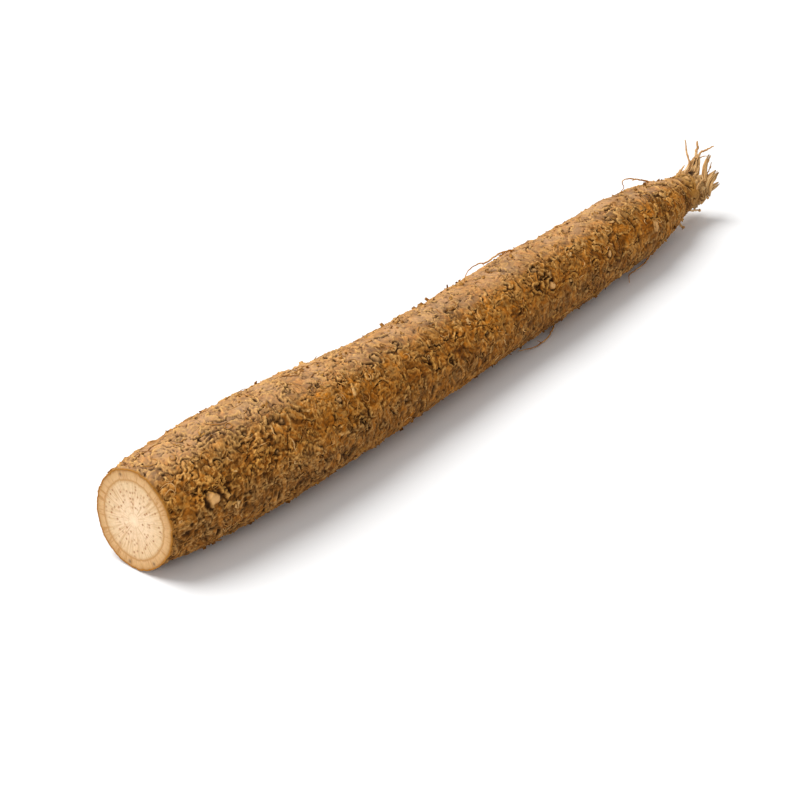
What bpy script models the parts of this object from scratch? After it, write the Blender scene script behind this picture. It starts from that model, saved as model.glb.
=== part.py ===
"""A burdock root lying on its side: one long taproot with a knife cut at its thick end, torn
leaf-stalk stubs and dry fibres at its crown, and a few thin side rootlets.

Metres, +Z up. +X runs along the root from the cut to the crown, and the root bows towards -Y.
The origin is on the resting surface, under the middle of the whole root.

Places on the taproot are given as a station and a turn. A station is the share of the length,
0 at the cut and 1 at the crown. A turn is in degrees round the axis, 0 at -Y and 90 at the top.
"""

import math

import bmesh
import bpy
from mathutils import Vector

MM = 0.001

# Taproot
TAPROOT_LENGTH = 308 * MM
CUT_RADIUS = 15.0 * MM
BELLY_RADIUS = 17.6 * MM
WAIST_RADIUS = 15.1 * MM
SHOULDER_RADIUS = 14.0 * MM
NECK_RADIUS = 8.2 * MM
CROWN_RADIUS = 7.2 * MM
CROWN_DOME = 3.5 * MM
CROWN_CENTRE_HEIGHT = 12.3 * MM
SIDE_BOW = 6.1 * MM
LUMP_HEIGHT = 0.2 * MM
CUT_LEAN = math.radians(7.4)

# What grows from it
BODY_GAP = 0.3 * MM
STUB_GAP = 0.35 * MM
ROOTLET_RADIUS = 0.3 * MM
ROOTLET_TIP_SHARE = 0.6
FLOOR_GAP = 0.15 * MM
STUB_STAND_SHARE = 0.22  # a stub stands square off the crown for this share of its reach
STUB_BEND_SHARE = 0.6  # and has bent towards its tip by this share

# Mesh
RINGS = 80
SIDES = 32
DOME_RINGS = 4
STUB_SIDES = 8
STUB_STEPS = 2  # rings for each span of a stub's route
FIBRE_STEPS = 3  # points for each span of a fibre's route
SHARP_ANGLE = math.radians(50)
OVERLONG_SHARE = 0.03  # the taproot is grown this much past the cut, and then cut
LIFT_OFF_STATION = 0.81  # past this the root leaves the surface it lies on

SKIN_COLOUR = (0.30, 0.165, 0.062, 1)
STALK_COLOUR = (0.52, 0.33, 0.14, 1)
ROOTLET_COLOUR = (0.42, 0.22, 0.08, 1)

# Station and radius, from the cut to the crown
TAPROOT_OUTLINE = (
    (-0.04, CUT_RADIUS - 1.2 * MM),
    (0.00, CUT_RADIUS),
    (0.04, 0.45 * CUT_RADIUS + 0.55 * BELLY_RADIUS),
    (0.15, BELLY_RADIUS),
    (0.28, 0.5 * BELLY_RADIUS + 0.5 * WAIST_RADIUS),
    (0.46, WAIST_RADIUS),
    (0.65, WAIST_RADIUS),
    (0.75, 0.85 * SHOULDER_RADIUS + 0.15 * WAIST_RADIUS),
    (0.81, SHOULDER_RADIUS),
    (0.87, 0.75 * SHOULDER_RADIUS + 0.25 * NECK_RADIUS),
    (0.92, 0.45 * SHOULDER_RADIUS + 0.55 * NECK_RADIUS),
    (0.965, NECK_RADIUS),
    (1.00, CROWN_RADIUS),
)

# Station and share of SIDE_BOW
BOW_OUTLINE = (
    (-0.04, -0.25),
    (0.00, 0.00),
    (0.13, 0.63),
    (0.26, 0.95),
    (0.39, 1.00),
    (0.52, 0.85),
    (0.65, 0.77),
    (0.78, 0.56),
    (0.91, 0.36),
    (1.00, 0.13),
)

# Height, waves round, waves along and phase of each swelling, the height as a share of LUMP_HEIGHT
LUMPS = (
    (0.60, 2, 2.5, 0.4),
    (0.45, 3, -4.5, 1.9),
    (0.35, 1, 9.0, 3.1),
    (0.25, 2, 15.0, 0.8),
)

# Knots and dents of the skin: station, turn, half-length along the root and height, the last two
# in millimetres
KNOTS = (
    (0.048, 20, 4.5, 0.7),
    (0.050, -47, 6.0, 0.6),
    (0.092, 69, 4.0, 0.5),
    (0.105, 135, 6.0, 0.4),
    (0.160, 190, 5.5, 0.7),
    (0.214, 135, 4.0, 0.5),
    (0.227, 44, 4.5, 0.6),
    (0.245, 13, 4.5, 0.6),
    (0.265, -45, 6.0, 0.4),
    (0.305, 68, 4.5, 0.5),
    (0.360, 255, 5.0, -0.6),
    (0.410, 135, 6.5, 0.7),
    (0.442, 78, 5.0, -0.5),
    (0.591, 44, 7.0, 0.9),
    (0.600, 215, 6.0, 0.8),
    (0.682, 135, 12.0, -1.0),
    (0.710, -47, 8.0, 0.5),
    (0.760, 250, 6.0, 0.6),
    (0.840, 19, 4.5, 0.5),
    (0.860, -47, 5.5, 0.8),
    (0.868, 130, 5.0, 0.4),
    (0.880, 25, 4.0, -0.5),
    (0.965, 133, 4.5, -0.5),
)

# The crown's pieces are sized in crown radii.
# Stalk stubs: turn and slope of the base on the crown's dome, how far the tip reaches from the
# crown's centre, the base's width and thickness, and the tip's share of them
STALK_STUBS = {
    "stalk_husk": (85, 38, (1.292, 0.0, 1.792), 0.889, 0.208, 0.36),
    "stalk_stub_tall": (36, 42, (1.681, -0.5, 1.75), 0.347, 0.278, 0.62),
    "stalk_stub_broad": (-6, 44, (1.667, -1.083, 0.903), 0.583, 0.639, 0.42),
    "stalk_stub_lower": (-50, 44, (1.806, -1.194, 0.167), 0.417, 0.333, 0.52),
    "stalk_stub_under": (-100, 42, (1.306, -0.222, -0.778), 0.389, 0.236, 0.60),
    "stalk_stub_back": (160, 44, (1.25, 0.889, 0.194), 0.444, 0.278, 0.55),
    "stalk_stub_back_low": (212, 44, (1.056, 0.889, -0.5), 0.361, 0.25, 0.60),
}

# Dry fibres on the crown: thickness in millimetres, and points that are a way past the crown, a
# turn, and a way off the skin or off its run past the crown, the first of them on the skin
CROWN_FIBRES = {
    "crown_fibre_long": (
        0.9, ((0.171, 97, 0.0), (0.642, 97, 0.292),
              (0.898, 106, 0.861), (1.112, 108, 1.556)),
    ),
    "crown_fibre_short": (
        0.7, ((0.0, 110, 0.0), (0.171, 106.8, 0.167), (0.415, 105, 0.292)),
    ),
    "crown_fibre_low": (
        0.8, ((-0.642, -42, 0.0), (-0.192, -42, 0.167), (0.043, -39, 0.347)),
    ),
    "crown_fibre_back": (
        0.7, ((-0.342, 196, 0.0), (0.171, 198, 0.194),
              (0.556, 200, 0.444), (0.77, 202, 0.583)),
    ),
    "crown_fibre_beaded": (
        0.5, ((0.578, 15, -0.833), (0.813, 42, -0.528),
              (1.262, 52, 0.097), (1.596, 64, 0.5)),
    ),
}  # fmt: skip

# Prongs that stand on the husk's torn top: thickness in millimetres, and the points passed, from
# the husk's tip
HUSK_PRONGS = {
    "husk_prong_upright": (
        1.1, ((0.028, 0.111, 0.111), (0.125, 0.181, 0.319), (0.264, 0.292, 0.611)),
    ),
    "husk_prong_leaning": (
        0.8, ((0.139, -0.069, 0.069), (0.319, -0.319, 0.250), (0.556, -0.611, 0.472)),
    ),
}  # fmt: skip

# Side rootlets. Each point is a station, a turn and a lift off the skin in millimetres
ARCHED_ROOTLETS = {
    "rootlet_1": (
        (0.513, 112, 0), (0.517, 111, 1.1), (0.526, 109, 2.9), (0.541, 109, 2.8),
        (0.557, 111, 1.3), (0.574, 110, 1.6), (0.590, 110, 1.3), (0.6065, 112, 0.1),
    ),
    "rootlet_2": (
        (0.853, 112, 0), (0.859, 109, 1.5), (0.853, 105.6, 4.4), (0.872, 106, 3.9),
        (0.8925, 107.6, 2.3), (0.919, 112, 0.1),
    ),
    "rootlet_3": (
        (0.300, 158, 0), (0.303, 160, 1.2), (0.296, 163, 2.4), (0.281, 167, 2.8),
        (0.266, 172, 1.8), (0.252, 176, 0.3),
    ),
}  # fmt: skip

# Each starts on the skin at a station and turn, on the side that -Y (1) or +Y (-1) faces. Its
# other points are a station, the clear way out from under the root and the height, in millimetres
TRAILING_ROOTLETS = {
    "rootlet_4": (
        (0.662, -60), 1,
        ((0.652, 0.1, 0.7), (0.643, 0.6, 0.0), (0.627, 2.9, 0.0), (0.607, 4.8, 0.0),
         (0.586, 5.2, 0.0), (0.571, 4.0, 0.0), (0.560, 2.0, 0.0)),
    ),
    "rootlet_5": (
        (0.905, -58), 1,
        ((0.898, 1.6, 1.2), (0.890, 2.9, 0.0), (0.869, 3.8, 0.0), (0.846, 3.7, 0.0),
         (0.826, 3.1, 0.0), (0.808, 3.0, 0.0), (0.789, 6.2, 0.0)),
    ),
    "rootlet_6": (
        (0.420, 232), -1,
        ((0.426, 0.9, 1.6), (0.434, 2.6, 0.0), (0.448, 4.6, 0.0), (0.464, 5.6, 0.0),
         (0.480, 7.4, 0.0), (0.501, 8.2, 0.0)),
    ),
    "rootlet_7": (
        (0.742, 230), -1,
        ((0.735, 1.0, 1.6), (0.724, 2.6, 0.0), (0.708, 4.2, 0.0), (0.694, 3.7, 0.0),
         (0.676, 5.2, 0.0)),
    ),
}  # fmt: skip


def clear_scene():
    for obj in list(bpy.data.objects):
        bpy.data.objects.remove(obj, do_unlink=True)


def through(table, where):
    """The value of a two-column table at `where`, on a smooth curve through its points."""
    places = [row[0] for row in table]
    values = [row[1] for row in table]
    where = min(max(where, places[0]), places[-1])
    i = max(k for k in range(len(places) - 1) if places[k] <= where)

    def slope(k):
        before, after = max(k - 1, 0), min(k + 1, len(places) - 1)
        return (values[after] - values[before]) / (places[after] - places[before])

    step = places[i + 1] - places[i]
    t = (where - places[i]) / step
    return (
        values[i] * (1 + 2 * t) * (1 - t) ** 2
        + values[i + 1] * t**2 * (3 - 2 * t)
        + slope(i) * step * t * (1 - t) ** 2
        - slope(i + 1) * step * t**2 * (1 - t)
    )


def smooth_route(points, steps):
    """Points on one smooth curve through `points`, `steps` of them for each span."""
    places = list(range(len(points)))
    axes = [list(zip(places, values)) for values in zip(*points)]
    count = (len(points) - 1) * steps
    return [
        Vector([through(axis, place / steps) for axis in axes])
        for place in range(count + 1)
    ]


def radius_at(station):
    return through(TAPROOT_OUTLINE, station)


def centre_at(station):
    """The centreline: it lies at the radius's height, and rises off the surface to the crown."""
    height = radius_at(station)
    if station > LIFT_OFF_STATION:
        share = (station - LIFT_OFF_STATION) / (1 - LIFT_OFF_STATION)
        height = radius_at(LIFT_OFF_STATION) * (1 - share) + CROWN_CENTRE_HEIGHT * share
    return Vector((station * TAPROOT_LENGTH, -SIDE_BOW * through(BOW_OUTLINE, station), height))


def outward(turn):
    """The direction away from the axis at a turn, in degrees."""
    angle = math.radians(turn)
    return Vector((0, -math.cos(angle), math.sin(angle)))


def skin_radius(station, turn):
    """The radius with the root's slow swellings, knots and dents."""
    angle = math.radians(turn)
    lumps = sum(
        height * math.sin(around * angle + along * station * math.tau + phase)
        for height, around, along, phase in LUMPS
    )
    radius = radius_at(station) + LUMP_HEIGHT * lumps
    for place, middle, half_length, height in KNOTS:
        away = (station - place) * TAPROOT_LENGTH / (half_length * MM)
        aside = math.radians((turn - middle + 180) % 360 - 180) * radius_at(place)
        spread = away**2 + (aside / (half_length * MM)) ** 2
        radius += height * MM * math.exp(-spread)
    return radius


def on_skin(station, turn, lift=0.0):
    """A point over the taproot's skin."""
    return centre_at(station) + outward(turn) * (skin_radius(station, turn) + lift)


def off_crown(ahead, turn, clear, off):
    """A fibre's point past the crown, by `ahead`, and off the skin, by `off`, in crown radii."""
    station = 1 + ahead * CROWN_RADIUS / TAPROOT_LENGTH
    return on_skin(station, turn, clear + off * CROWN_RADIUS)


def beside_root(side, station, out, height):
    """A rootlet's point beside the root: `out` millimetres clear of its underside at a height."""
    middle = centre_at(station)
    level = ROOTLET_RADIUS + FLOOR_GAP + height * MM
    clear = radius_at(station) + LUMP_HEIGHT + BODY_GAP + ROOTLET_RADIUS
    under = math.sqrt(max(clear**2 - (middle.z - level) ** 2, 0))
    return Vector((middle.x, middle.y - side * (under + out * MM), level))


def on_dome(turn, slope, lift=0.0):
    """A point over the crown's rounded end, and the direction out of it. Slope 90 is its tip."""
    lean = math.radians(slope)
    side = outward(turn)
    ahead = Vector((1, 0, 0))
    point = side * CROWN_RADIUS * math.cos(lean) + ahead * CROWN_DOME * math.sin(lean)
    normal = side * math.cos(lean) / CROWN_RADIUS + ahead * math.sin(lean) / CROWN_DOME
    normal.normalize()
    return centre_at(1) + point + normal * lift, normal


def material(name, colour, roughness):
    made = bpy.data.materials.new(name)
    made.use_nodes = True
    shader = made.node_tree.nodes["Principled BSDF"]
    shader.inputs["Base Color"].default_value = colour
    shader.inputs["Roughness"].default_value = roughness
    return made


def mesh_object(name, bm, finish, parent):
    """Closes the bmesh's sides outwards and makes it a named object of one finish."""
    bmesh.ops.recalc_face_normals(bm, faces=bm.faces)
    mesh = bpy.data.meshes.new(name)
    bm.to_mesh(mesh)
    bm.free()
    mesh.shade_smooth()
    mesh.set_sharp_from_angle(angle=SHARP_ANGLE)
    mesh.materials.append(finish)
    obj = bpy.data.objects.new(name, mesh)
    bpy.context.scene.collection.objects.link(obj)
    obj.parent = parent
    return obj


def loft(rings):
    """A closed bmesh through rings of points, the same number in each, with flat ends."""
    bm = bmesh.new()
    number = bm.verts.layers.int.new("number")
    first = bmesh.ops.create_circle(bm, segments=len(rings[0]), radius=1)["verts"]
    for i, vert in enumerate(first):
        vert[number] = i
        vert.co = rings[0][i]
    edges = list(bm.edges)
    bmesh.ops.contextual_create(bm, geom=edges)
    for ring in rings[1:]:
        made = bmesh.ops.extrude_edge_only(bm, edges=edges)["geom"]
        edges = [item for item in made if isinstance(item, bmesh.types.BMEdge)]
        for vert in (item for item in made if isinstance(item, bmesh.types.BMVert)):
            vert.co = ring[vert[number]]
    bmesh.ops.contextual_create(bm, geom=edges)
    return bm


def build_taproot(finish, parent):
    """The taproot: lofted past its cut end, closed by the crown's dome, and cut by one plane."""
    turns = [360 * k / SIDES for k in range(SIDES)]
    span = 1 + OVERLONG_SHARE
    stations = [-OVERLONG_SHARE + span * i / RINGS for i in range(RINGS + 1)]
    rings = [[on_skin(station, turn) for turn in turns] for station in stations]
    crown = centre_at(1)
    for k in range(1, DOME_RINGS + 1):
        slope = 90 * k / (DOME_RINGS + 1)
        ring = []
        for turn in turns:
            offset = on_dome(turn, slope)[0] - crown
            swelling = skin_radius(1, turn) / CROWN_RADIUS
            ring.append(crown + offset * Vector((1, swelling, swelling)))
        rings.append(ring)
    bm = loft(rings)
    bmesh.ops.recalc_face_normals(bm, faces=bm.faces)

    out_of_cut = Vector((-math.cos(CUT_LEAN), 0, math.sin(CUT_LEAN)))
    whole = list(bm.verts) + list(bm.edges) + list(bm.faces)
    cut = bmesh.ops.bisect_plane(
        bm, geom=whole, plane_co=centre_at(0), plane_no=out_of_cut, clear_outer=True
    )["geom_cut"]
    cut_edges = [item for item in cut if isinstance(item, bmesh.types.BMEdge)]
    bmesh.ops.contextual_create(bm, geom=cut_edges)
    return mesh_object("taproot", bm, finish, parent)


def ring_round(point, ahead, flat_to, width, thickness):
    """An elliptical ring of points across the direction `ahead`, thin towards `flat_to`."""
    broad = ahead.cross(flat_to).normalized()
    thin = broad.cross(ahead).normalized()
    turns = [math.tau * k / STUB_SIDES for k in range(STUB_SIDES)]
    return [
        point + broad * (0.5 * width * math.cos(a)) + thin * (0.5 * thickness * math.sin(a))
        for a in turns
    ]


def build_stalk_stub(name, turn, slope, tip, width, thickness, tip_share, finish, parent):
    """A torn leaf-stalk stub: it stands square off the dome, and bends to its tip."""
    base, normal = on_dome(turn, slope, STUB_GAP)
    end = centre_at(1) + Vector(tip) * CROWN_RADIUS
    reach = (end - base).length
    stand = base + normal * reach * STUB_STAND_SHARE
    route = smooth_route([base, stand, base.lerp(end, STUB_BEND_SHARE), end], STUB_STEPS)
    rings = []
    for i, point in enumerate(route):
        before, after = route[max(i - 1, 0)], route[min(i + 1, len(route) - 1)]
        ahead = normal if i == 0 else (after - before).normalized()
        share = 1 + (tip_share - 1) * i / (len(route) - 1)
        size = (width * CROWN_RADIUS * share, thickness * CROWN_RADIUS * share)
        rings.append(ring_round(point, ahead, outward(turn), *size))
    return mesh_object(name, loft(rings), finish, parent)


def build_fibre(name, route, radius, finish, parent):
    """A thin round fibre along a route, thinner towards its tip, with closed ends."""
    curve = bpy.data.curves.new(name, "CURVE")
    curve.dimensions = "3D"
    curve.bevel_depth = radius
    curve.bevel_resolution = 1
    curve.use_fill_caps = True
    spline = curve.splines.new("POLY")
    spline.points.add(len(route) - 1)
    for i, (point, place) in enumerate(zip(spline.points, route)):
        point.co = (*place, 1)
        point.radius = 1 + (ROOTLET_TIP_SHARE - 1) * i / (len(route) - 1)
    curve.materials.append(finish)
    obj = bpy.data.objects.new(name, curve)
    bpy.context.scene.collection.objects.link(obj)
    obj.parent = parent
    return obj


def build_crown_fibres(finish, parent):
    for name, (thickness, points) in CROWN_FIBRES.items():
        radius = thickness * MM / 2
        clear = radius + BODY_GAP
        places = [off_crown(ahead, turn, clear, off) for ahead, turn, off in points]
        build_fibre(name, smooth_route(places, FIBRE_STEPS), radius, finish, parent)
    husk_tip = centre_at(1) + Vector(STALK_STUBS["stalk_husk"][2]) * CROWN_RADIUS
    for name, (thickness, passes) in HUSK_PRONGS.items():
        places = [husk_tip + Vector(place) * CROWN_RADIUS for place in passes]
        build_fibre(name, smooth_route(places, FIBRE_STEPS), thickness * MM / 2, finish, parent)


def build_rootlets(finish, parent):
    clear = ROOTLET_RADIUS + BODY_GAP
    for name, points in ARCHED_ROOTLETS.items():
        places = [on_skin(station, turn, clear + lift * MM) for station, turn, lift in points]
        build_fibre(name, smooth_route(places, FIBRE_STEPS), ROOTLET_RADIUS, finish, parent)
    for name, (base, side, points) in TRAILING_ROOTLETS.items():
        places = [on_skin(*base, clear)] + [beside_root(side, *point) for point in points]
        build_fibre(name, smooth_route(places, FIBRE_STEPS), ROOTLET_RADIUS, finish, parent)


def stand_on_origin(parent):
    """Moves the whole root so that the middle of its box's underside is the origin."""
    bpy.context.view_layer.update()
    graph = bpy.context.evaluated_depsgraph_get()
    corners = []
    for obj in parent.children:
        seen = obj.evaluated_get(graph)
        mesh = seen.to_mesh()
        corners += [seen.matrix_world @ vert.co for vert in mesh.vertices]
        seen.to_mesh_clear()
    low = Vector([min(point[axis] for point in corners) for axis in range(3)])
    high = Vector([max(point[axis] for point in corners) for axis in range(3)])
    parent.location = (-(low.x + high.x) / 2, -(low.y + high.y) / 2, -low.z)


def main():
    clear_scene()
    whole_root = bpy.data.objects.new("burdock_root", None)
    bpy.context.scene.collection.objects.link(whole_root)
    skin = material("root_skin", SKIN_COLOUR, 0.85)
    stalk = material("dry_stalk", STALK_COLOUR, 0.8)
    rootlet = material("rootlet_fibre", ROOTLET_COLOUR, 0.75)

    build_taproot(skin, whole_root)
    for name, sizes in STALK_STUBS.items():
        build_stalk_stub(name, *sizes, stalk, whole_root)
    build_crown_fibres(stalk, whole_root)
    build_rootlets(rootlet, whole_root)
    stand_on_origin(whole_root)


main()
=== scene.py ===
import math

import bmesh
import bpy
import numpy as np
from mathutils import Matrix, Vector, noise
from mathutils.bvhtree import BVHTree


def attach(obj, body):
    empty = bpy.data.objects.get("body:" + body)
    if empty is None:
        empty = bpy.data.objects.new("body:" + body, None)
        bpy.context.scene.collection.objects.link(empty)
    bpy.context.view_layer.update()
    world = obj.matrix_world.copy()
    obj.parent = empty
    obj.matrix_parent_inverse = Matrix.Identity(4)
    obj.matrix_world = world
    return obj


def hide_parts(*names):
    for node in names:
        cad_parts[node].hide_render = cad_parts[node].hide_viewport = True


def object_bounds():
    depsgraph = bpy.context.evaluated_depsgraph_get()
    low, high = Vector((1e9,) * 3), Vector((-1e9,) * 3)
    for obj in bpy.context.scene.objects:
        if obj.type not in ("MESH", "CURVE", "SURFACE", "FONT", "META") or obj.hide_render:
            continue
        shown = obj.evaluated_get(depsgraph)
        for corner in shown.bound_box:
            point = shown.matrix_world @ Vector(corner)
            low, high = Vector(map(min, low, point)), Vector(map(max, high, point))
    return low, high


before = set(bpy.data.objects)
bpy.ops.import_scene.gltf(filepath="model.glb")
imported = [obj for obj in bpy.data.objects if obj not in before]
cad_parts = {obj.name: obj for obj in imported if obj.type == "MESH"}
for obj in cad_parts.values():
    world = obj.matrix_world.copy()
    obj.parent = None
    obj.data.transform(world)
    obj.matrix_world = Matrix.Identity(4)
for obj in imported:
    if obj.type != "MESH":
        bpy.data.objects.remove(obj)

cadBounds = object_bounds()
mm = 0.001
body = "root"
randomDraw = np.random.default_rng(26)

room = {
    "ground": 0.02,   # the lowest that any piece reaches, mm
    "past": 0.95,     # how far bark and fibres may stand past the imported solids' box, mm
}


def fromHex(code):
    # sRGB hex to the linear colour that shaders use
    parts = [int(code[i:i + 2], 16) / 255 for i in (0, 2, 4)]
    return tuple(c / 12.92 if c <= 0.04045 else ((c + 0.055) / 1.055) ** 2.4 for c in parts) + (1,)


def addNode(tree, kind, settings, out=0):
    # settings: node properties, sockets by name or number with a value or a link, or a ramp's stops
    node = tree.nodes.new(kind)
    for key, value in settings.items():
        if key == "stops":
            marks = node.color_ramp.elements
            while len(marks) < len(value):
                marks.new(0.5)
            for mark, (position, code) in zip(marks, value):
                mark.position = position
            for mark, (position, code) in zip(marks, value):
                mark.color = fromHex(code)
        elif isinstance(key, str) and hasattr(node, key):
            setattr(node, key, value)
        elif isinstance(value, bpy.types.NodeSocket):
            tree.links.new(value, node.inputs[key])
        else:
            node.inputs[key].default_value = value
    return node.outputs[out]


def addObject(name, data):
    obj = bpy.data.objects.new(name, data)
    bpy.context.scene.collection.objects.link(obj)
    return obj


def finishPiece(obj, material, slot, *nodes):
    # paints a piece, fixes it to the root and hides the imported nodes that it stands for
    obj.data.materials.append(material)
    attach(obj, body)
    if nodes:
        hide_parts(*nodes)
    print(obj.name, len(obj.data.polygons))


def placesOf(mesh):
    places = np.empty(len(mesh.vertices) * 3)
    mesh.vertices.foreach_get("co", places)
    return places.reshape(-1, 3)


def smooth(edge0, edge1, value):
    t = np.clip((value - edge0) / (edge1 - edge0), 0, 1)
    return t * t * (3 - 2 * t)


def bell(value, width, power=2):
    # 1 at nought, falling off over the width; a higher power gives a flatter top
    return np.exp(-(value / width) ** power)


def turnFrom(turn, degrees):
    # how far round from a given angle, in radians either way
    return np.mod(turn - math.radians(degrees) + math.pi, math.tau) - math.pi


def pointsFrom(*parts):
    # arrays or numbers side by side as points
    return np.stack(np.broadcast_arrays(*parts), -1)


def raiseTo(layer, amount):
    # a map brought up, in place, to at least that amount
    np.maximum(layer, amount, out=layer)


def keepIn(points):
    # above the ground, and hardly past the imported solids' box
    past = room["past"] * mm
    points[..., 1] = np.clip(points[..., 1], cadBounds[0][1] - past, cadBounds[1][1] + past)
    points[..., 2] = np.clip(points[..., 2], room["ground"] * mm, cadBounds[1][2] + past)
    return points


def noiseAt(points, size, seed=0.0):
    # Perlin noise of a given lump size, about -1 to 1
    moved = points / size + np.array([seed * 17.3, seed * -9.1, seed * 5.7])
    return np.array([noise.noise(p) for p in moved.reshape(-1, 3).tolist()]).reshape(points.shape[:-1])


def flakesAt(points, size, seed=0):
    # overlapping tilted flakes, one a cell: height, how near the rim, and a random number a flake
    grid = points / size
    base = np.floor(grid)
    best = np.full(points.shape[:-1], -9.0)
    rim = np.ones(points.shape[:-1])
    label = np.zeros(points.shape[:-1])
    for corner in np.ndindex(3, 3, 3):
        cell = base + np.array(corner) - 1
        key = cell @ np.array([127.1, 311.7, 74.7]) + seed * 13.7
        draw = [np.modf(np.abs(np.sin(key + k) * 43758.5453))[0] for k in (0.0, 1.3, 2.9, 4.1, 5.3)]
        away = grid - cell - np.stack(draw[:3], -1)
        distance = np.linalg.norm(away, axis=-1)
        reach = 0.55 + 0.45 * draw[3]
        around = draw[4] * math.tau
        way = pointsFrom(np.cos(around), np.sin(around), np.sin(around * 1.7 + 1)) * 0.8
        level = 0.45 * draw[3] + 0.75 * np.sum(away * way, -1) - 0.35 * distance ** 2
        level = np.where(distance < reach, level, -9)
        better = level > best
        best = np.where(better, level, best)
        rim = np.where(better, distance / reach, rim)
        label = np.where(better, draw[1] * 7.13 + draw[2] * 3.71, label)
    return np.maximum(best, -0.45), rim, np.modf(label)[0]


# the taproot's own cut and centreline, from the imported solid
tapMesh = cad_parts["taproot"].data
tapVerts = placesOf(tapMesh)
lowX, crownX = tapVerts[:, 0].min(), tapVerts[:, 0].max()
cutFaces = [f for f in tapMesh.polygons if f.normal.x < -0.97 and f.center.x < lowX + 10 * mm]
cutArea = sum(f.area for f in cutFaces)
cutCentre = sum((f.center * f.area for f in cutFaces), Vector()) / cutArea
cutNormal = sum((f.normal * f.area for f in cutFaces), Vector()).normalized()
tapFaces = [tuple(f.vertices) for f in tapMesh.polygons]
tapTree = BVHTree.FromPolygons([v.co for v in tapMesh.vertices], tapFaces)
print("cut centre", [round(v / mm, 2) for v in cutCentre], "crown", round(crownX / mm, 2))


def sectionCentre(x, guess):
    # the middle of the solid's section at x, from rays sent out both ways along Y and Z
    y, z = guess
    for _ in range(3):
        for axis in (1, 2):
            reach = []
            for sign in (-1, 1):
                way = Vector((0, 0, 0))
                way[axis] = sign
                hit = tapTree.ray_cast(Vector((x, y, z)), way)[0]
                reach.append(hit[axis] if hit else (y, z)[axis - 1])
            middle = sum(reach) / 2
            y, z = (middle, z) if axis == 1 else (y, middle)
    return y, z


lineX = np.linspace(lowX + 5 * mm, crownX - 4.5 * mm, 60)
lineY, lineZ = [], []
guess = (cutCentre.y, cutCentre.z)
for x in lineX:
    guess = sectionCentre(x, guess)
    lineY.append(guess[0])
    lineZ.append(guess[1])
steady = np.hanning(9) / np.hanning(9).sum()
lineY, lineZ = (np.convolve(np.pad(line, 4, mode="edge"), steady, "valid") for line in (lineY, lineZ))


def centreAt(x):
    return pointsFrom(x, np.interp(x, lineX, lineY), np.interp(x, lineX, lineZ))


def outwardAt(turn):
    # turn: radians round the axis, 0 at -Y and a quarter turn at the top
    return pointsFrom(0.0, -np.cos(turn), np.sin(turn))


# the radius by x and turn, read smoothly afterwards
tableX = np.linspace(lowX - 3 * mm, crownX - 3.6 * mm, 150)
tableTurns = np.linspace(0, math.tau, 97)
radiusTable = np.zeros((len(tableX), len(tableTurns)))
for i, x in enumerate(tableX):
    middle = Vector(centreAt(np.array(max(x, lowX + 4.2 * mm))))
    for j, turn in enumerate(tableTurns):
        hit = tapTree.ray_cast(middle, Vector(outwardAt(np.array(turn))))[3]
        radiusTable[i, j] = hit if hit else 7 * mm
radiusTable[:, -1] = radiusTable[:, 0]


def radiusAt(x, turn):
    row = np.clip((x - tableX[0]) / (tableX[1] - tableX[0]), 0, len(tableX) - 1.001)
    col = np.mod(turn, math.tau) / (tableTurns[1] - tableTurns[0])
    i, j = row.astype(int), np.minimum(col.astype(int), len(tableTurns) - 2)
    u, v = row - i, col - j
    near = radiusTable[i, j] * (1 - v) + radiusTable[i, j + 1] * v
    far = radiusTable[i + 1, j] * (1 - v) + radiusTable[i + 1, j + 1] * v
    return near * (1 - u) + far * u


barkSkin = {
    "rows": 1040,          # rings along the root
    "columns": 348,        # points round it
    "sections": 4,         # pieces along the root, each under 200,000 triangles
    "lump": 0.30,          # slow unevenness, mm
    "plate": 0.70,         # lift of the flakes, mm
    "curl": 0.46,          # height of the curled threads, mm
    "crumple": 0.40,       # height of the crumpled ridges, mm
    "stroke": 0.27,        # height of the short streaks, mm
    "grain": 0.07,         # fine roughness, mm
    "wrinkle": 0.30,       # depth of the wrinkles round the far end, mm
    "gap": 0.30,           # depth beside a curled thread, mm
    "crack": 0.60,         # depth of the cracks, mm
    "lip": 0.32,           # height of a crack's raised edge, mm
    "domeRows": 26,        # rings over the crown's rounded end
    "limits": (-1.1, 0.95),   # deepest and highest point of all, mm
    "cutEdge": ((2.0, 2.5), (0.6, 0.7), (0.42, 0.05), (0.2, 0.0)),   # rows at the cut: mm inwards, mm back
}

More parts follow.
